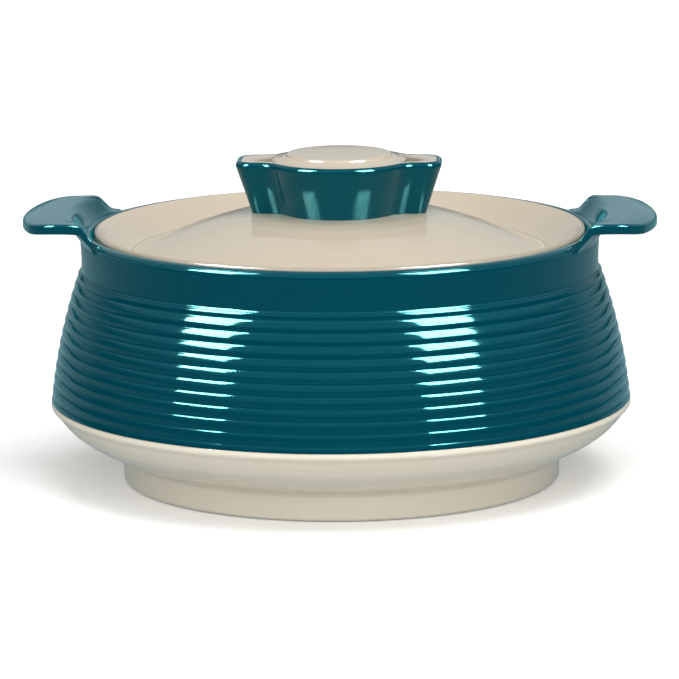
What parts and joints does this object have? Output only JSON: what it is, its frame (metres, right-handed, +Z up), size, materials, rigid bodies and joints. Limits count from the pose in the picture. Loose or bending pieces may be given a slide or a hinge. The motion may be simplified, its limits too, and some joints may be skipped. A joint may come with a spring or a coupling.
{
  "type": "insulated food casserole",
  "caption": "Round insulated food box with a ribbed tapering wall, two ear handles, a steel bowl inside and a lift-off domed lid with a bow-tie knob.",
  "frame": {"origin": "on the table, under the middle of the foot ring", "axes": "+Z up along the axis of the pot, +X through the right ear handle and along the knob"},
  "size_m": [0.273, 0.251, 0.1416],
  "materials": {
    "teal_plastic": "glossy moulded polypropylene, teal",
    "beige_plastic": "glossy moulded polypropylene, warm beige",
    "white_plastic": "semi-gloss moulded polypropylene, off-white",
    "steel": "drawn stainless steel, satin",
    "foam": "rigid foam, cut cells",
    "screw_steel": "plated steel"
  },
  "bodies": {
    "pot": {"outer_shell": "teal_plastic", "base_shell": "beige_plastic", "base_plug": "beige_plastic", "inner_liner": "steel", "body_insulation": "foam"},
    "lid": {"lid_cover": "beige_plastic", "lid_liner": "white_plastic", "lid_plug": "white_plastic", "lid_insulation": "foam", "knob_body": "teal_plastic", "knob_cap": "beige_plastic", "knob_screws": "screw_steel"}
  },
  "joints": [
    {"name": "lid_lift", "type": "slide", "parent": "pot", "child": "lid", "axis": [0, 0, 1], "range_m": [0, 0.12]}
  ]
}
